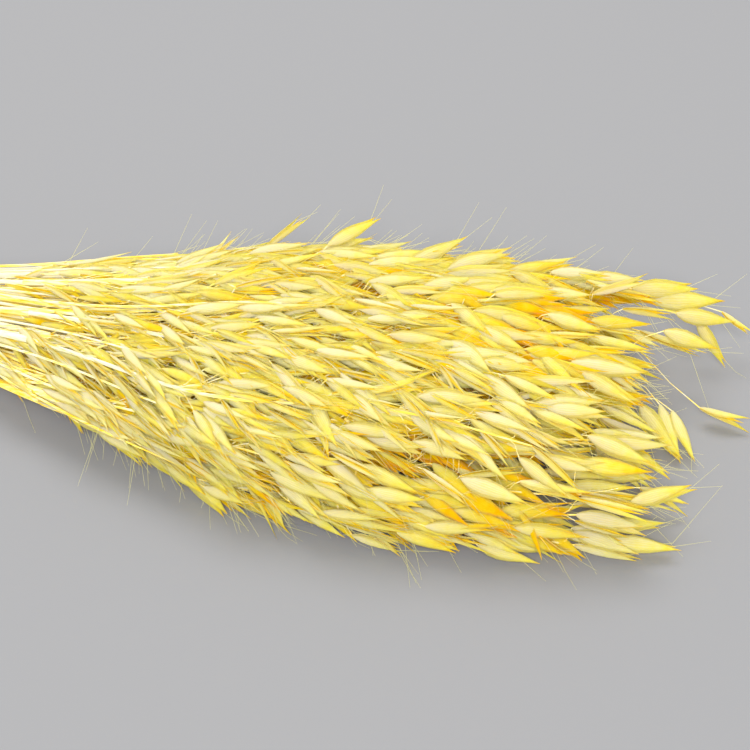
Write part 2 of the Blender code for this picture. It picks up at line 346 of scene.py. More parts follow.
KNOT = ((9.0, -1.5, 0.2), (6.0, -0.9, 0.1), (3.6, -0.8, -0.1), (1.8, -0.8, -0.75), (0.0, -1.5, -0.75),
        (-1.8, -2.1, 0.4), (-2.7, -1.2, 0.9), (-2.9, 0.0, 1.0), (-2.7, 1.2, 0.9), (-1.8, 2.1, 0.4),
        (0.0, 1.5, 0.75), (1.8, 0.8, -0.75), (3.6, 0.8, -0.5), (6.0, 0.5, -0.75))

# Camera
CAMERA_TURN = math.radians(14)
CAMERA_HEIGHT_ANGLE = math.radians(41)
CAMERA_DISTANCE = 1.12
TARGET_ALONG = 0.26
TARGET_NEARER = 0.045
SENSOR_WIDTH = 36.0
LENS = 124.8
PICTURE_SIDE = 750

# Studio: place, size and power of the lights
KEY_LIGHT = ((-0.15, 0.6, 1.6), 1.2, 21)
FRONT_LIGHT = ((0.75, -3.0, 2.8), 1.25, 171)
LIT_PLACE = (0.05, 0, 0)
WORLD_COLOUR = (1, 0.955, 0.86, 1)
WORLD_STRENGTH = 0.8
FLOOR_COLOUR = (0.212, 0.216, 0.231, 1)
FLOOR_HALF_SIDE = 4
DIFFUSE_BOUNCES = 8
PICTURE_GAMMA = 1.1

# Colours, those in rows from the deepest to the palest
HUSK_COLOURS = (
    (0.0, (0.98, 0.67, 0.003)), (0.2, (0.955, 0.83, 0.014)), (0.45, (0.93, 0.93, 0.20)),
    (0.7, (0.91, 0.935, 0.57)), (1.0, (0.905, 0.925, 0.84)))
HUSK_TIP = (0.95, 0.76, 0.07, 1)
# Painted shade on the husks' inner faces and on the florets between them
HUSK_INSIDE_SHADE = (0.99, 0.68, 0.008, 1)
# Painted light on the thin edges of the husks
HUSK_EDGE_LIGHT = (0.95, 0.94, 0.58, 1)
HUSK_VEIN = (0.97, 0.92, 0.55, 1)
LIGHT_THROUGH_HUSK = (1, 0.96, 0.45, 1)
STRAW_COLOURS = (
    (0.1, (0.90, 0.58, 0.02)), (0.35, (0.87, 0.73, 0.16)), (0.6, (0.76, 0.72, 0.46)),
    (0.9, (0.68, 0.68, 0.58)))
TWINE_COLOURS = (
    (0.25, (0.25, 0.14, 0.055)), (0.45, (0.45, 0.29, 0.13)), (0.65, (0.60, 0.43, 0.22)),
    (0.85, (0.74, 0.60, 0.38)))


def section_at(x):
    """The cross-sections at x, on smooth curves through SECTIONS."""
    places, values = SECTIONS[:, 0], SECTIONS[:, 1:]
    x = np.clip(x, places[0], places[-1])
    low = np.maximum(np.arange(len(places)) - 1, 0)
    high = np.minimum(np.arange(len(places)) + 1, len(places) - 1)
    slopes = (values[high] - values[low]) / (places[high] - places[low])[:, None]
    after = np.clip(np.searchsorted(places, x), 1, len(places) - 1)
    before = after - 1
    span = (places[after] - places[before])[..., None]
    t = (x[..., None] - places[before][..., None]) / span
    leave, arrive = slopes[before] * span, slopes[after] * span
    rise = values[after] - values[before]
    curve = leave + t * (3 * rise - 2 * leave - arrive + t * (leave + arrive - 2 * rise))
    return np.moveaxis(values[before] + t * curve, -1, 0)


def sunflower_seat(index):
    radius = math.sqrt((index + 0.5) / STALK_COUNT)
    angle = index * math.pi * (3 - math.sqrt(5)) + SEAT_TURN
    return radius * math.cos(angle), radius * math.sin(angle)


class Stalk:
    """One stalk's line through the bunch, the same as its solid's."""

    def __init__(self, index, shift):
        draw = random.Random(PART_SEED + index)
        self.shift = shift
        self.u, self.v = sunflower_seat(index)
        outer = self.u**2 + self.v**2
        self.cut = CUT_END_X + draw.random() * CUT_UNEVENNESS
        share = int(f"{index:06b}"[::-1], 2) / 64
        shorter = TIP_UNEVENNESS * draw.random() + OUTER_TIP_UNEVENNESS * outer * share**OUTER_TIP_POWER
        far_side = min(max((self.u - FAR_SIDE_FROM) / FAR_SIDE_WIDTH, 0.0), 1.0)
        self.tip = TIP_X + (FAR_TIP_X - TIP_X) * far_side - shorter
        self.head = self.tip - HEAD_LENGTH + HEAD_LENGTH_SPREAD * draw.uniform(-1, 1)
        self.sway = [draw.uniform(0, 2 * math.pi) for _ in range(2)]
        self.rng = np.random.default_rng(LOOKS_SEED + index)
        self.number = index + 1
        self.rachis_end = self.tip - GLUME_LENGTH - SHORTER_HEADS.get(self.number, 0)
        # Painted shade: the lower a stalk lies in the bunch, the deeper the palest tone of its straws,
        # sheaths and blades
        self.palest = np.interp(self.v, BURIED, (BURIED_SHADE_TONE, 1))

    def bend(self, points):
        """Takes points of the straight stalk along +X to their places in the bunch."""
        x, y, z = np.moveaxis(np.asarray(points, float), -1, 0)
        half_width, half_height, lowest, middle, flatness = section_at(x)
        free = np.minimum(np.abs(x - TIE_X) / DRIFT_START, 1.0)
        turns = 2 * math.pi * x / DRIFT_WAVE
        u = self.u + DRIFT * free * np.sin(turns + self.sway[0]) + y / half_width
        v = self.v + DRIFT * free * np.sin(turns + self.sway[1]) + z / half_height
        mound = np.sqrt(np.maximum(1 - EDGE_DROP * u * u, EDGE_LEAST))
        lift = 1 - flatness + flatness * mound
        return np.stack((x, middle + half_width * u, lowest + half_height * (v + lift)), -1) + self.shift

    def flow(self, points, step=2 * MM):
        """The direction in which the bunch runs at points of the straight stalk."""
        ahead = self.bend(points + np.array((step, 0, 0)))
        return unit(ahead - self.bend(points))


def unit(vectors):
    return vectors / np.linalg.norm(vectors, axis=-1, keepdims=True)


def cross_frames(forward, roll):
    """Side and face directions at right angles to forward, turned by roll."""
    level = unit(np.cross(forward, (0.0, 0.0, 1.0)))
    rise = np.cross(level, forward)
    cosine, sine = np.cos(roll)[..., None], np.sin(roll)[..., None]
    side = level * cosine + rise * sine
    return side, np.cross(side, forward)


class Weave:
    """Collects lofts of rings into one mesh with its attributes."""

    def __init__(self):
        self.points, self.faces, self.materials = [], [], []
        self.values = {"across": [], "along": [], "tone": [], "inside": []}
        self.count = 0

    def loft(self, rings, material, across=0.0, along=0.0, tone=0.5, inside=0.0):
        """Adds closed skins over rings[which, station, corner]."""
        which, stations, corners = rings.shape[:3]
        at = np.arange(which * stations * corners).reshape(which, stations, corners) + self.count
        turned = np.roll(at, -1, axis=2)
        walls = np.stack((at[:, :-1], turned[:, :-1], turned[:, 1:], at[:, 1:]), -1).reshape(-1, 4)
        caps = np.concatenate((at[:, 0, ::-1], at[:, -1]))
        self.faces += walls.tolist() + caps.tolist()
        self.materials += [material] * (len(walls) + len(caps))
        self.points.append(rings.reshape(-1, 3))
        shape = (which, stations, corners)
        for name, value in (("across", across), ("along", along), ("tone", tone), ("inside", inside)):
            self.values[name].append(np.broadcast_to(value, shape).reshape(-1))
        self.count += which * stations * corners

    def tube(self, path, radii, sides, material, **values):
        """Adds round skins along path[which, station]."""
        forward = unit(np.gradient(path, axis=1))
        side, face = cross_frames(forward, np.zeros(path.shape[:2]))
        angle = np.arange(sides) * 2 * math.pi / sides
        ring = side[:, :, None] * np.cos(angle)[:, None] + face[:, :, None] * np.sin(angle)[:, None]
        radii = np.broadcast_to(radii, path.shape[:2])
        self.loft(path[:, :, None] + ring * radii[..., None, None], material, **values)

    def to_object(self, name, materials):
        mesh = bpy.data.meshes.new(name)
        points = np.concatenate(self.points)
        points[:, 2] = np.maximum(points[:, 2], FLOOR_GAP)
        mesh.from_pydata(points.tolist(), [], self.faces)
        for key, parts in self.values.items():
            mesh.attributes.new(key, "FLOAT", "POINT").data.foreach_set("value", np.concatenate(parts))
        for material in materials:
            mesh.materials.append(material)
        mesh.polygons.foreach_set("material_index", self.materials)
        mesh.shade_smooth()
        mesh.set_sharp_from_angle(angle=math.radians(60))
        thing = bpy.data.objects.new(name, mesh)
        bpy.context.scene.collection.objects.link(thing)
        return thing


# The places of the materials in each piece's list of them
HUSK, STRAW = 0, 1
TWINE = 0


def add_straw(weave, stalk):
    """The hollow straw with its joints, thinning into the rachis."""
    rng = stalk.rng
    joints = np.array((stalk.cut + rng.uniform(*LOWER_JOINT_FROM_CUT), rng.uniform(*UPPER_JOINT_X)))
    places = [np.arange(stalk.cut, stalk.rachis_end, STRAW_STEP), [stalk.rachis_end]]
    places += [joint + JOINT_STATIONS * JOINT_LENGTH for joint in joints]
    x = np.sort(np.concatenate(places))
    done = (x - stalk.cut) / (stalk.head - stalk.cut)
    on_head = np.clip((x - stalk.head) / (stalk.rachis_end - stalk.head), 0, 1)
    thin = STRAW_RADIUS + (NECK_RADIUS - STRAW_RADIUS) * np.clip(done, 0, 1) ** 2
    radii = thin + (RACHIS_TIP_RADIUS - NECK_RADIUS) * on_head
    for joint in joints:
        radii = radii * (1 + JOINT_SWELLING * np.exp(-(((x - joint) / JOINT_LENGTH) ** 2)))
    tones = (rng.uniform(*STRAW_TONES) * stalk.palest, RACHIS_TONE)
    tone = np.interp(on_head, (0, RACHIS_TONE_FROM), tones)
    add_hollow(weave, stalk, np.stack((x, 0 * x, 0 * x), -1), radii, tone)
    return joints


def add_hollow(weave, stalk, points, radii, tone):
    """A straw along points of the straight stalk, hollow at its cut end."""
    points = np.concatenate((points[:1] + (HOLLOW_DEPTH, 0, 0), points[:1], points))
    radii = np.concatenate((radii[:1] * HOLLOW_SHARE, radii[:1] * HOLLOW_SHARE, radii))
    tone = np.concatenate((tone[:1], tone[:1], tone))
    path = stalk.bend(points)
    side, face = cross_frames(stalk.flow(points), np.zeros(len(path)))
    angle = np.arange(STRAW_SIDES) * 2 * math.pi / STRAW_SIDES
    ring = side[:, None] * np.cos(angle)[:, None] + face[:, None] * np.sin(angle)[:, None]
    rings = path[:, None] + ring * radii[:, None, None]
    weave.loft(rings[None], STRAW, across=angle / math.pi - 1, tone=tone[:, None])


def gap_seats():
    """Seats in the widest gaps between the stalks, each with the stalk nearest to it."""
    seats = np.array([sunflower_seat(index) for index in range(STALK_COUNT)])
    angles = np.linspace(0, 2 * math.pi, SPOTS_ON_A_RING + 1)[1:]
    radius, angle = np.meshgrid(np.linspace(0, SPOTS_WITHIN, SPOT_RINGS), angles)
    spots = np.stack((radius * np.cos(angle), radius * np.sin(angle)), -1).reshape(-1, 2)
    spots = spots[(np.hypot(*spots.T) < SEATS_WITHIN) | (spots[:, 1] > UPPER_SIDE)]
    room = np.linalg.norm(spots[:, None] - seats, axis=-1)
    nearest, room = room.argmin(axis=1), room.min(axis=1)
    found = [[] for _ in seats]
    for _ in range(FURTHER_STRAWS):
        best = room.argmax()
        found[nearest[best]].append(spots[best])
        room = np.minimum(room, np.linalg.norm(spots - spots[best], axis=-1))
    return found


def add_further_straws(weave, stalk, seats):
    """Thinner straws next to the stalk, which end out of sight among the spikelets."""
    rng = stalk.rng
    for u, v in seats:
        cut = stalk.cut + rng.uniform(0, FURTHER_CUT_UNEVENNESS)
        x = np.arange(cut, rng.uniform(*FURTHER_END_X), STRAW_STEP)
        half_width, half_height = section_at(x)[:2]
        points = np.stack((x, (u - stalk.u) * half_width, (v - stalk.v) * half_height), -1)
        radii = rng.uniform(*FURTHER_RADIUS) * np.interp(x, (x[0], x[-1]), FURTHER_TAPER)
        tone = rng.uniform(*FURTHER_TONES) * stalk.palest
        # Painted shade: deeper in tone among the heads, the more so the lower the straw lies in the bunch
        buried_shade = np.interp(v, BURIED, BURIED_DEEPER)
        deeper = buried_shade * np.interp(x, AMONG_HEADS, (0, tone - SHADE_TONE_AMONG_HEADS))
        add_hollow(weave, stalk, points, radii, tone - deeper)


def add_leaf(weave, stalk, joint):
    """A sheath round the straw above a joint, and the dry blades that leave it."""
    rng = stalk.rng
    sheath_end = joint + rng.uniform(*SHEATH_LENGTH)
    x = np.linspace(joint, sheath_end, 8)
    grown = np.interp(x, (joint, joint + SHEATH_FOOT, sheath_end), SHEATH_THICKER)
    path = stalk.bend(np.stack((x, 0 * x, 0 * x), -1))[None]
    tone = rng.uniform(*SHEATH_TONES) * stalk.palest
    weave.tube(path, STRAW_RADIUS + SHEATH_THICKNESS * grown, STRAW_SIDES, STRAW, tone=tone)
    for _ in range(BLADES):
        length = rng.uniform(*BLADE_LENGTH)
        t = BLADE_STATIONS
        angle = rng.uniform(0, 2 * math.pi)
        away = BLADE_FROM_STRAW + rng.uniform(*BLADE_AWAY) * t**1.4
        foot = max(sheath_end - rng.uniform(*BLADE_BEFORE_SHEATH_END), TIE_X + BLADE_FROM_TIE)
        blade_x = foot + length * t
        line = np.stack((blade_x, away * math.cos(angle), BLADE_FLATTER * away * math.sin(angle)), -1)
        line[:, 1] += rng.normal(0, BLADE_SWAY) * t**2
        roll = angle + rng.uniform(-BLADE_TURN, BLADE_TURN) * t
        side, face = cross_frames(stalk.flow(line), roll)
        width = rng.uniform(*BLADE_HALF_WIDTH) * np.interp(t, *BLADE_WIDTHS)
        rings = stalk.bend(line)[:, None] + side[:, None] * (width[:, None] * BLADE_ACROSS)[..., None]
        rings = rings + face[:, None] * (width[:, None] * BLADE_CURL)[..., None]
        # Painted shade: the blade is deeper in tone where it runs in among the heads
        tones = (rng.uniform(*BLADE_TONES) * stalk.palest, SHADE_TONE_AMONG_HEADS)
        weave.loft(rings[None, :, ::-1], STRAW, across=BLADE_ACROSS[::-1], along=t[:, None],
                   tone=np.interp(blade_x, AMONG_HEADS, tones)[:, None])


def spikelet_places(stalk):
    """Where the spikelets of one stalk start, and where their branches leave the rachis."""
    rng, rachis_end = stalk.rng, stalk.rachis_end
    lowest = max(stalk.head - EXTRA_LENGTH, LOWEST_WHORL_X)
    whorls = len(WHORL_SPIKELETS)
    roots, bases = [], []
    for whorl, number in enumerate(WHORL_SPIKELETS):
        up = whorl / (whorls - 1)
        place = lowest + (rachis_end - lowest) * WHORLS_WITHIN * up
        place += rng.uniform(-WHORL_UNEVENNESS, WHORL_UNEVENNESS)
        longest = LOWEST_BRANCH + (HIGHEST_BRANCH - LOWEST_BRANCH) * up
        turn = rng.uniform(0, 2 * math.pi)
        for branch in range(number):
            length = longest * rng.uniform(*BRANCH_SHARE)
            start = min(place + length, rachis_end)
            half_width, half_height = (float(size) for size in section_at(np.array(start))[:2])
            angle = turn + 2 * math.pi * branch / number + rng.uniform(-BRANCH_TURN, BRANCH_TURN)
            out = math.sqrt(rng.uniform(*REACH_SQUARED)) * min(1, SHORTEST_REACH + length / BRANCH_REACH)
            u = stalk.u + SPREAD_SIDEWAYS * out * math.cos(angle)
            v = stalk.v + SPREAD_UPWARDS * out * math.sin(angle)
            if stalk.v > LIFTED_FROM and rng.random() < LIFTED_SHARE:
                v = max(v, math.sqrt(max(1 - u * u, 0)) * rng.uniform(*LIFTED_HEIGHT))
            most = NEAR_REACH if u < 0 else FAR_REACH
            hold = min(1, np.interp(start, *most.T) / math.hypot(u, v))
            roots.append((place, 0, 0))
            bases.append((start, (u * hold - stalk.u) * half_width, (v * hold - stalk.v) * half_height))
    roots.append((rachis_end - LAST_ROOT, 0, 0))
    bases.append((rachis_end, 0, 0))
    return np.array(roots), np.array(bases)


def how_far_out(points, stalk):
    """0 in the middle of the bunch and 1 on its skin, for the husks' painted light and shade; the side
    that it lies on counts less, as it is in shade.
    """
    x, y, z = (points - stalk.shift).T
    half_width, half_height, lowest, middle, flatness = section_at(x)
    u = (y - middle) / half_width
    mound = np.sqrt(np.maximum(1 - EDGE_DROP * u * u, EDGE_LEAST))
    v = (z - lowest) / half_height - (1 - flatness + flatness * mound)
    return np.hypot(u, np.where(v > 0, v, UNDERSIDE_SHARE * v))


def seen_at(across, down, height):
    """The point at a height in millimetres that the camera shows at a place in the picture."""
    camera = bpy.context.scene.camera
    middle = PICTURE_SIDE / 2
    ray = Vector((across - middle, middle - down, -PICTURE_SIDE * LENS / SENSOR_WIDTH))
    ray.rotate(camera.rotation_euler)
    return np.array(camera.location + ray * (height * MM - camera.location.z) / ray.z)


class Spikelets:
    """All spikelets of one stalk: where each starts, points and turns, and how large it is."""

    def __init__(self, stalk):
        rng = self.rng = stalk.rng
        self.roots, bases = spikelet_places(stalk)
        x, y, z = bases.T
        count = len(bases)
        along = (LOWEST_WHORL_X, TIP_X - GLUME_LENGTH)
        self.size = rng.uniform(*SPIKELET_SIZES, count)
        self.size *= np.interp(x, along, (SIZE_AT_LEFT, SIZE_AT_RIGHT))
        self.width = np.interp(x, along, (WIDTH_AT_LEFT, 1.0))
        self.length = GLUME_LENGTH * self.size
        stray = np.where(rng.random(count) < STRAY_SHARE, STRAY_TIMES, 1.0)
        sideways = y * SPLAY + rng.normal(0, WANDER_SIDEWAYS, count) * stray
        upwards = DROOP + z * SPLAY + rng.normal(0, WANDER_UPWARDS, count) * stray
        sideways += np.interp(x, *NOD.T) * (1 - FAR_SIDE_NOD_LESS * max(stalk.u, 0))
        at_foot = np.interp(x, (LOWEST_WHORL_X, NEAR_SIDE_NOD_END), (1, 0))
        sideways += NEAR_SIDE_NOD * max(-stalk.u, 0) * at_foot
        splay = np.stack((np.zeros(count), sideways, np.minimum(upwards, MOST_RISE)), -1)
        self.start = stalk.bend(bases)
        self.start[:, 2] = np.maximum(self.start[:, 2], LOWEST_FOOT)
        self.forward = unit(stalk.flow(bases) + splay)
        self.forward[:, 1] += self.lean_back(stalk)
        tip_height = self.start[:, 2] + self.forward[:, 2] * self.length
        self.forward[:, 2] += np.maximum(LOWEST_TIP - tip_height, 0) / self.length
        self.forward = unit(self.forward)
        tips = self.start + self.forward * self.length[:, None]
        # Painted light and shade: husks near the bunch's skin and the heads' tips are painted paler, where
        # light falls, and those deep in the bunch a deeper gold, where shade falls; the tone also differs
        # at random
        outward = np.minimum((how_far_out(self.start, stalk) + how_far_out(tips, stalk)) / 2, 1)
        lit_share = np.maximum(outward**SKIN_POWER, np.interp(x - stalk.tip, FROM_TIP, (0, LIT_AT_TIP)))
        tone = DEEPEST + (TONE_RISE + np.interp(x, *PALER.T)) * lit_share
        tone += rng.normal(0, TONE_SPREAD, count)
        self.tone = np.clip(tone, LEAST_TONE * lit_share, 1)
        for number, foot, tip in DISTINCT_SPIKELETS:
            if number == stalk.number:
                self.append(stalk, seen_at(*foot), seen_at(*tip))
        self.count = len(self.start)
        self.side, self.face = cross_frames(self.forward, rng.uniform(0, 2 * math.pi, self.count))

    def lean_back(self, stalk):
        """How much less the spikelets lean sideways where their tips would leave the bunch's outline."""
        tips = self.start + self.forward * self.length[:, None] - stalk.shift
        half_width, middle = section_at(tips[:, 0])[[0, 3]]
        near, far = (np.interp(tips[:, 0], *reach.T) for reach in (NEAR_REACH, FAR_REACH))
        beyond_near = middle - half_width * near - TIP_ROOM - tips[:, 1]
        beyond_far = tips[:, 1] - middle - half_width * far - TIP_ROOM
        return (np.maximum(beyond_near, 0) - np.maximum(beyond_far, 0)) / self.length

    def append(self, stalk, foot, tip):
        """Adds a spikelet from foot to tip, on a branch of this stalk."""
        root = min(foot[0] - stalk.shift[0] - DISTINCT_BRANCH, stalk.rachis_end - LAST_ROOT)
        length = np.linalg.norm(tip - foot)
        added = {"roots": (root, 0, 0), "start": foot, "forward": unit(tip - foot),
                 "length": length, "size": length / GLUME_LENGTH, "width": 1.0, "tone": DISTINCT_TONE}
        for name, value in added.items():
            setattr(self, name, np.concatenate((getattr(self, name), [value])))

    def place(self, local, which=slice(None)):
        """Takes local points[which, ..., 3], in spikelet directions, to their places."""
        shape = (len(local),) + (1,) * (local.ndim - 2) + (3,)
        moved = self.start[which].reshape(shape)
        for number, axis in enumerate((self.forward, self.side, self.face)):
            moved = moved + local[..., number, None] * axis[which].reshape(shape)
        return moved


def column(values):
    """Values for each spikelet, ready to meet stations and corners."""
    return np.asarray(values)[:, None, None]


def add_glumes(weave, spikelets):
    """Two papery husks face each other on each spikelet and part towards their tips."""
    rng, count = spikelets.rng, spikelets.count
    t = GLUME_STATIONS[None, :, None]
    for hand, share in GLUME_PAIR:
        length = column(spikelets.length) * share
        half = spikelets.size * spikelets.width * rng.uniform(*GLUME_WIDTH_SPREAD, count)
        half = column(GLUME_HALF_WIDTH * half) * GLUME_WIDTHS[None, :, None]
        across = np.concatenate((GLUME_OUTER, GLUME_INNER))[None, None, :]
        inside = np.concatenate((0 * GLUME_OUTER, 0 * GLUME_INNER + 1))[None, None, :]
        crown = half * GLUME_BULGE * (1 - np.abs(across) ** GLUME_BULGE_POWER)
        crown = crown - inside * GLUME_THICKNESS * np.minimum(1, half / GLUME_FULL_THICKNESS_FROM)
        opened = column(rng.gamma(*GAPE_GAMMA, count)) * np.maximum(t - GAPE_FROM, 0) ** GAPE_POWER
        apart = GLUMES_APART + length * (opened - TIP_CLOSES * t**3)
        twist = column(rng.normal(0, GLUME_TWIST, count)) * t**2
        wide = half * across * np.cos(twist) - crown * np.sin(twist)
        high = half * across * np.sin(twist) + crown * np.cos(twist) + apart
        bow = length * column(rng.normal(0, GLUME_BOW, count)) * t**2
        local = np.stack((length * t + 0 * across, wide + bow, hand * high), -1)
        if hand < 0:
            local, across, inside = local[:, :, ::-1], across[..., ::-1], inside[..., ::-1]
        weave.loft(spikelets.place(local), HUSK, across=across, along=t, tone=column(spikelets.tone),
                   inside=inside)


def add_florets(weave, spikelets):
    """The slim floret between the husks."""
    angle = np.arange(FLORET_SIDES) * 2 * math.pi / FLORET_SIDES
    radius = FLORET_RADII[None, :, None] * column(spikelets.width)
    along = column(spikelets.length * FLORET_LENGTH_SHARE) * FLORET_STATIONS[None, :, None] + 0 * angle
    wide, high = radius * FLORET_WIDE * np.cos(angle), radius * FLORET_HIGH * np.sin(angle)
    # Painted shade: the floret is deeper in tone than its husks and takes their inside colour, for the
    # shade between them
    weave.loft(spikelets.place(np.stack((along, wide, high), -1))[:, :, ::-1], HUSK,
               across=angle / math.pi - 1, along=DEEPER_ALONG, inside=1,
               tone=column(spikelets.tone) * FLORET_TONE_SHARE)


def add_awns(weave, spikelets, low, high):
    """Bristles that leave the florets and bend beyond the husks, where the part has room for them."""
    rng = spikelets.rng
    bearing = np.repeat(np.arange(spikelets.count), rng.binomial(AWNS_MOST, AWN_SHARE, spikelets.count))
    count = len(bearing)
    t = AWN_STATIONS
    lean = rng.normal(0, AWN_LEAN, (count, 2))
    bent = lean + rng.normal(0, AWN_BEND, (count, 2))
    length = AWN_LENGTH * rng.uniform(*AWN_LENGTHS, count)[:, None]
    before, after = np.minimum(t, AWN_KNEE), np.maximum(t - AWN_KNEE, 0)
    along = spikelets.length[bearing][:, None] * AWN_FOOT + length * (before + after * AWN_BEYOND_KNEE)
    wide = length * (lean[:, :1] * before + bent[:, :1] * after)
    high_up = length * (lean[:, 1:] * before + bent[:, 1:] * after)
    path = spikelets.place(np.stack((along, wide, high_up), -1), bearing)
    fits = ((path > low - AWN_ROOM) & (path < high + AWN_ROOM)).all(axis=(1, 2))
    weave.tube(path[fits], AWN_RADII, AWN_SIDES, HUSK, along=DEEPER_ALONG, tone=AWN_TONE)


def add_branches(weave, stalk, spikelets):
    """Thin branches from the rachis to each spikelet."""
    t = BRANCH_STATIONS[None, :, None]
    root, goal = stalk.bend(spikelets.roots)[:, None], spikelets.start[:, None]
    reach = np.linalg.norm(goal - root, axis=-1, keepdims=True)
    leave = root + stalk.flow(spikelets.roots)[:, None] * reach * BRANCH_LEAVES
    arrive = goal - spikelets.forward[:, None] * reach * BRANCH_ARRIVES
    path = root * (1 - t) ** 3 + leave * 3 * t * (1 - t) ** 2 + arrive * 3 * t**2 * (1 - t) + goal * t**3
    radii = BRANCH_RADIUS * np.interp(t[..., 0], *BRANCH_RADII)
    weave.tube(path, radii, BRANCH_SIDES, STRAW, tone=BRANCH_TONE)


def twine_line(middle):
    """The line of the twine from one free end to the other."""
    layer = 2 * TWINE_RADIUS
    over = TWINE_TURN_RADIUS + layer
    knot = np.array(KNOT) * MM
    ends, sideways, raised = np.array(FREE_END).T
    free = np.stack(((knot[0, 0] + TWINE_END * ends) / over, sideways, over + raised), -1)
    tied = np.stack((knot[:, 0] / over, knot[:, 1], over + KNOT_HEIGHT + knot[:, 2]), -1)
    whole = 2 * math.pi * TWINE_TURNS
    begin, end = tied[-1, 0] + 2 * TWINE_TURN_STEP, whole - tied[-1, 0] - TWINE_TURN_STEP
    turn = np.arange(begin, end, TWINE_TURN_STEP)
    x = np.interp(turn, (0, TWINE_BACK, whole - TWINE_BACK, whole),
                  (CROSSING_X, -TWINE_HALF_LENGTH, TWINE_HALF_LENGTH, -CROSSING_X))
    on_top = np.interp(np.minimum(turn, whole - turn), *TWINE_ON_TOP)
    wound = np.stack((turn, x, TWINE_TURN_RADIUS + layer * on_top), -1)
    first = np.concatenate((free, tied))
    last = first[::-1] * (-1, -1, 1) + (whole, 0, 0)
    turn, x, radius = np.concatenate((first, wound, last)).T
    bends = middle + np.stack((x, -radius * np.sin(turn), radius * np.cos(turn)), -1)
    return even_steps(smooth_line(bends), TWINE_STEP)


def smooth_line(bends, steps=8):
    """Points of a smooth line through bends."""
    padded = np.concatenate((bends[:1], bends, bends[-1:]))
    t = (np.arange(steps) / steps)[None, :, None]
    before, start, end, after = (padded[k:len(padded) - 3 + k, None] for k in range(4))
    line = start + 0.5 * t * (end - before + t * (2 * before - 5 * start + 4 * end - after
                                                  + t * (3 * (start - end) + after - before)))
    return np.concatenate((line.reshape(-1, 3), bends[-1:]))


def even_steps(line, step):
    along = np.concatenate(([0], np.cumsum(np.linalg.norm(np.diff(line, axis=0), axis=1))))
    places = np.linspace(0, along[-1], int(along[-1] / step))
    return np.stack([np.interp(places, along, line[:, axis]) for axis in range(3)], -1)


def carried_frames(path):
    """Forward directions along path, and two more at right angles that turn with it but don't twist."""
    forward = unit(np.gradient(path, axis=0))
    sides = [unit(np.cross(forward[0], (1.0, 0.3, 0.2)))]
    for direction in forward[1:]:
        sides.append(unit(sides[-1] - direction * (sides[-1] @ direction)))
    side = np.array(sides)
    return forward, side, np.cross(forward, side)


def add_twine(weave, middle):
    """Twine of three twisted plies with loose hairs, wound round the straws and knotted."""
    rng = np.random.default_rng(TWINE_SEED)
    path = twine_line(middle)
    forward, side, face = carried_frames(path)
    along = np.arange(len(path)) * TWINE_STEP
    angle = np.arange(PLY_SIDES) * 2 * math.pi / PLY_SIDES
    uneven = 1 + sum(share * np.sin(along / wave + start) for share, wave, start in TWINE_UNEVENNESS)
    for ply, tone in enumerate(PLY_TONES):
        turn = 2 * math.pi * (along / TWINE_TWIST + ply / len(PLY_TONES))
        away = side * np.cos(turn)[:, None] + face * np.sin(turn)[:, None]
        axis = path + (TWINE_RADIUS - PLY_RADIUS) * away
        corner = angle + turn[:, None]
        ring = side[:, None] * np.cos(corner)[..., None] + face[:, None] * np.sin(corner)[..., None]
        rings = axis[:, None] + ring * (PLY_RADIUS * uneven)[:, None, None]
        weave.loft(rings[None], TWINE, across=angle / math.pi - 1, along=(along / (10 * MM))[:, None],
                   tone=tone)
    at = rng.integers(0, len(path), TWINE_HAIRS)
    at[:HAIRS_AT_ENDS] = rng.choice((0, len(path) - 1), HAIRS_AT_ENDS)
    turn = rng.uniform(0, 2 * math.pi, TWINE_HAIRS)[:, None]
    out = side[at] * np.cos(turn) + face[at] * np.sin(turn)
    on = forward[at] * np.where(at == 0, -1, 1)[:, None]
    length = rng.uniform(*HAIR_LENGTH, TWINE_HAIRS)[:, None, None]
    t = np.linspace(0, 1, 4)[None, :, None]
    rise = rng.uniform(*HAIR_RISE, TWINE_HAIRS)[:, None, None]
    curl = rng.normal(0, HAIR_CURL, (TWINE_HAIRS, 1, 3))
    root = path[at] + out * TWINE_RADIUS * rng.uniform(*HAIR_ROOTS, TWINE_HAIRS)[:, None]
    hairs = root[:, None] + length * (on[:, None] * t + out[:, None] * t * rise + curl * t * t)
    weave.tube(hairs, HAIR_RADIUS * (1 - 0.6 * t[..., 0]), HAIR_SIDES, TWINE, tone=HAIR_TONE)


def node(tree, kind, **settings):
    made = tree.nodes.new(kind)
    for name, value in settings.items():
        setattr(made, name, value)
    return made


def feed(tree, made, inputs):
    """Gives a node's inputs, by name or number, a fixed value or another node's output."""
    for key, value in inputs.items():
        if isinstance(value, bpy.types.NodeSocket):
            tree.links.new(value, made.inputs[key])
        else:
            made.inputs[key].default_value = value


def new_material(name):
    material = bpy.data.materials.new(name)
    material.use_nodes = True
    return material, material.node_tree, material.node_tree.nodes["Principled BSDF"]


def attributes(tree, *names):
    return [node(tree, "ShaderNodeAttribute", attribute_name=name).outputs["Fac"] for name in names]


def maths(tree, operation, *values, **settings):
    made = node(tree, "ShaderNodeMath", operation=operation, **settings)
    feed(tree, made, dict(enumerate(values)))
    return made.outputs[0]


def ramp(tree, value, stops):
    made = node(tree, "ShaderNodeValToRGB")
    elements = made.color_ramp.elements
    while len(elements) < len(stops):
        elements.new(1.0)
    for element, (place, colour) in zip(elements, stops):
        element.position = place
        element.color = (*colour, 1)
    feed(tree, made, {"Fac": value})
    return made.outputs["Color"]


def mixed(tree, factor, first, second, blend_type="MIX"):
    made = node(tree, "ShaderNodeMix", data_type="RGBA", blend_type=blend_type)
    feed(tree, made, {"Factor": factor, "A": first, "B": second})
    return made.outputs["Result"]


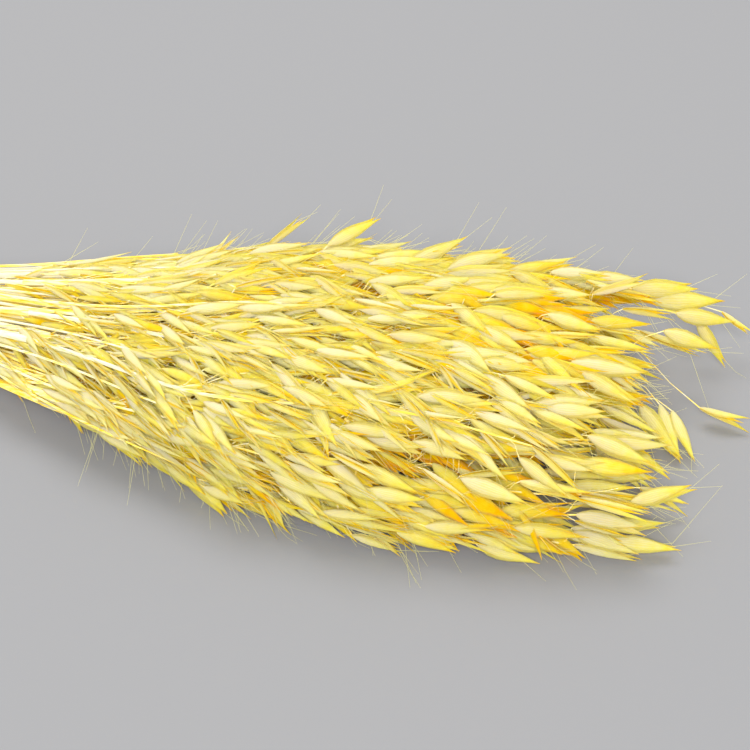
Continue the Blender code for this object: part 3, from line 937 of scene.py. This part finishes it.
def eased(tree, value, start, low, high):
    """Low up to where value is start, then a smooth rise to high, where it is 1."""
    made = node(tree, "ShaderNodeMapRange", interpolation_type="SMOOTHSTEP")
    feed(tree, made, {"Value": value, "From Min": start, "To Min": low, "To Max": high})
    return made.outputs["Result"]


def noise(tree, place, scale, detail):
    made = node(tree, "ShaderNodeTexNoise")
    feed(tree, made, {"Vector": place, "Scale": scale, "Detail": detail})
    return made.outputs["Fac"]


def stretched(tree, place, scale):
    made = node(tree, "ShaderNodeMapping")
    feed(tree, made, {"Vector": place, "Scale": scale})
    return made.outputs["Vector"]


def bumps(tree, height, strength, depth):
    made = node(tree, "ShaderNodeBump")
    feed(tree, made, {"Height": height, "Strength": strength, "Distance": depth})
    return made.outputs["Normal"]


def husk_material():
    material, tree, shader = new_material("oat_husk")
    across, along, tone, inside = attributes(tree, "across", "along", "tone", "inside")
    place = node(tree, "ShaderNodeTexCoord").outputs["Object"]
    from_middle = maths(tree, "ABSOLUTE", across)
    blotch = maths(tree, "MULTIPLY_ADD", noise(tree, place, 260, 3), 0.5, -0.05)
    toned = maths(tree, "ADD", blotch, tone)

    # The broad foot is the palest, and the colour deepens towards the tip
    base = ramp(tree, maths(tree, "MULTIPLY_ADD", along, -0.55, toned), HUSK_COLOURS)

    # Painted light: the papery edges are painted paler than the middle where the husk itself is pale, for
    # light that comes through the thin edges
    papery = maths(tree, "MULTIPLY", eased(tree, from_middle, 0.55, 0, 0.75), toned, use_clamp=True)
    edge_lit = mixed(tree, papery, base, HUSK_EDGE_LIGHT)
    at_tip = ramp(tree, along, ((0.86, (0, 0, 0)), (1.0, (1, 1, 1))))
    tipped = mixed(tree, at_tip, edge_lit, HUSK_TIP)
    # Painted shade: the inner faces and the florets between the husks are painted a deeper gold, for the
    # shade that falls between them
    inside_shaded = mixed(tree, maths(tree, "MULTIPLY", inside, 0.4), tipped, HUSK_INSIDE_SHADE)

    # Fine veins run from base to tip
    vein = node(tree, "ShaderNodeMapRange")
    waves = maths(tree, "COSINE", maths(tree, "MULTIPLY", across, 24))
    feed(tree, vein, {"Value": waves, "From Min": -1})
    ridge = vein.outputs["Result"]
    veined = mixed(tree, maths(tree, "MULTIPLY", ridge, 0.65), inside_shaded, HUSK_VEIN, "MULTIPLY")
    normal = bumps(tree, maths(tree, "ADD", ridge, noise(tree, place, 900, 2)), 0.5, 0.12 * MM)
    feed(tree, shader, {"Base Color": veined, "Normal": normal, "Roughness": 0.6,
                        "Diffuse Roughness": 1, "Specular IOR Level": 0})

    # Light that comes through a husk is deeper in colour, and more of it comes through the edges
    through = node(tree, "ShaderNodeBsdfTranslucent")
    deeper = mixed(tree, 1, veined, LIGHT_THROUGH_HUSK, "MULTIPLY")
    feed(tree, through, {"Color": deeper, "Normal": normal})
    blend = node(tree, "ShaderNodeMixShader")
    feed(tree, blend, {"Fac": eased(tree, from_middle, 0.45, 0.64, 0.88), 1: shader.outputs["BSDF"],
                       2: through.outputs["BSDF"]})
    feed(tree, tree.nodes["Material Output"], {"Surface": blend.outputs["Shader"]})
    return material


def straw_material():
    material, tree, shader = new_material("oat_straw")
    place = node(tree, "ShaderNodeTexCoord").outputs["Object"]
    streak = noise(tree, stretched(tree, place, (25, 900, 900)), 1, 4)
    level = maths(tree, "MULTIPLY_ADD", *attributes(tree, "tone"), 0.6, -0.55)
    colour = ramp(tree, maths(tree, "MULTIPLY_ADD", streak, 1.6, level), STRAW_COLOURS)
    normal = bumps(tree, streak, 0.4, 0.1 * MM)
    feed(tree, shader, {"Base Color": colour, "Normal": normal, "Roughness": 0.42,
                        "Diffuse Roughness": 1, "Specular IOR Level": 0.1})
    return material


def twine_material():
    material, tree, shader = new_material("plant_fibre_twine")
    across, along, tone = attributes(tree, "across", "along", "tone")
    place = node(tree, "ShaderNodeCombineXYZ")
    feed(tree, place, {"X": along, "Y": across, "Z": tone})
    fibre = noise(tree, stretched(tree, place.outputs["Vector"], (7, 6, 40)), 1, 5)
    feed(tree, shader, {"Base Color": ramp(tree, fibre, TWINE_COLOURS),
                        "Normal": bumps(tree, fibre, 0.7, 0.1 * MM), "Roughness": 0.8})
    return material


def floor_material():
    material, tree, shader = new_material("floor")
    feed(tree, shader, {"Base Color": FLOOR_COLOUR, "Roughness": 0.9})
    return material


def aim(thing, target):
    thing.rotation_euler = (target - thing.location).to_track_quat("-Z", "Y").to_euler()


def add_camera(tie_middle):
    right = Vector((math.cos(CAMERA_TURN), math.sin(CAMERA_TURN), 0))
    ahead = Vector((-math.sin(CAMERA_TURN), math.cos(CAMERA_TURN), 0))
    target = tie_middle + right * TARGET_ALONG - ahead * TARGET_NEARER
    data = bpy.data.cameras.new("camera")
    camera = bpy.data.objects.new("camera", data)
    bpy.context.scene.collection.objects.link(camera)
    data.sensor_width = SENSOR_WIDTH
    data.lens = LENS
    camera.location = target - ahead * CAMERA_DISTANCE * math.cos(CAMERA_HEIGHT_ANGLE)
    camera.location.z += CAMERA_DISTANCE * math.sin(CAMERA_HEIGHT_ANGLE)
    aim(camera, target)
    bpy.context.scene.camera = camera


def add_area_light(name, place, size, power):
    data = bpy.data.lights.new(name, "AREA")
    data.shape = "DISK"
    data.size = size
    data.energy = power
    light = bpy.data.objects.new(name, data)
    light.location = place
    bpy.context.scene.collection.objects.link(light)
    aim(light, Vector(LIT_PLACE))


def add_stage():
    mesh = bpy.data.meshes.new("floor")
    side = FLOOR_HALF_SIDE
    corners = ((-side, -side, 0), (side, -side, 0), (side, side, 0), (-side, side, 0))
    mesh.from_pydata(corners, [], [(0, 1, 2, 3)])
    mesh.materials.append(floor_material())
    floor = bpy.data.objects.new("floor", mesh)
    bpy.context.scene.collection.objects.link(floor)
    floor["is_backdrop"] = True
    world = bpy.data.worlds.new("studio")
    world.use_nodes = True
    light_around = {"Color": WORLD_COLOUR, "Strength": WORLD_STRENGTH}
    feed(world.node_tree, world.node_tree.nodes["Background"], light_around)
    scene = bpy.context.scene
    scene.world = world
    scene.cycles.diffuse_bounces = DIFFUSE_BOUNCES
    scene.view_settings.view_transform = "Standard"
    scene.view_settings.gamma = PICTURE_GAMMA
    add_area_light("key", *KEY_LIGHT)
    add_area_light("front", *FRONT_LIGHT)


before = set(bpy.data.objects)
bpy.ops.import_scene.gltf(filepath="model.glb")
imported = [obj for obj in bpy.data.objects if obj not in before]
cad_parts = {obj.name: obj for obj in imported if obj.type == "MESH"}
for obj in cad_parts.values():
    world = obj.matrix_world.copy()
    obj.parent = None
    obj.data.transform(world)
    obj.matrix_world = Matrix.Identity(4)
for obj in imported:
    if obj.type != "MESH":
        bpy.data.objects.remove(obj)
packed_low, packed_high = (np.array(corner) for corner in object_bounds())
tie_low, tie_high = (np.array(corner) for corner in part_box("tie"))
tie_x, tie_y, _ = (tie_low + tie_high) / 2
shift = np.array((tie_x - TIE_X, tie_y, 0.0))
add_camera(Vector((tie_x, tie_y, 0)))
add_stage()
looks = [husk_material(), straw_material()]
gaps = gap_seats()
for index in range(STALK_COUNT):
    stalk = Stalk(index, shift)
    weave = Weave()
    for joint in add_straw(weave, stalk):
        add_leaf(weave, stalk, joint)
    add_further_straws(weave, stalk, gaps[index])
    spikelets = Spikelets(stalk)
    add_glumes(weave, spikelets)
    add_florets(weave, spikelets)
    add_awns(weave, spikelets, packed_low, packed_high)
    add_branches(weave, stalk, spikelets)
    piece = weave.to_object(f"oats_{index + 1:02d}", looks)
    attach(piece, "root")
    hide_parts(f"oat_stalk_{index + 1:02d}")
weave = Weave()
add_twine(weave, (tie_low + tie_high) / 2)
twine = weave.to_object("twine", [twine_material()])
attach(twine, "root")
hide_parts("tie")
